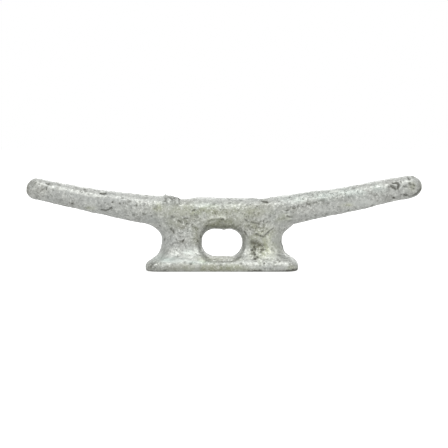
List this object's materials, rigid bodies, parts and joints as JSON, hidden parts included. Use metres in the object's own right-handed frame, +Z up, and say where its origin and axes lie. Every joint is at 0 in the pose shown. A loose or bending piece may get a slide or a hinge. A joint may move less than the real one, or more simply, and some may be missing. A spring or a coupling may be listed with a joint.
{
  "type": "cleat horn",
  "caption": "Open-base horn cleat for belaying rope: galvanised iron casting with upswept horns, a rope eye between its legs and bolt holes down through them.",
  "frame": {"origin": "centre of the flat underside of the base, midway between the bolt holes", "axes": "+X along the horns towards the slightly longer and higher one, +Y across the cleat, +Z up away from the deck"},
  "size_m": [0.2032, 0.032, 0.0485],
  "materials": {
    "galvanised_iron": "hot-dip galvanised over a rough sand casting, dulled and lightly stained"
  },
  "bodies": {
    "root": {"cleat_casting": "galvanised_iron"}
  },
  "joints": []
}
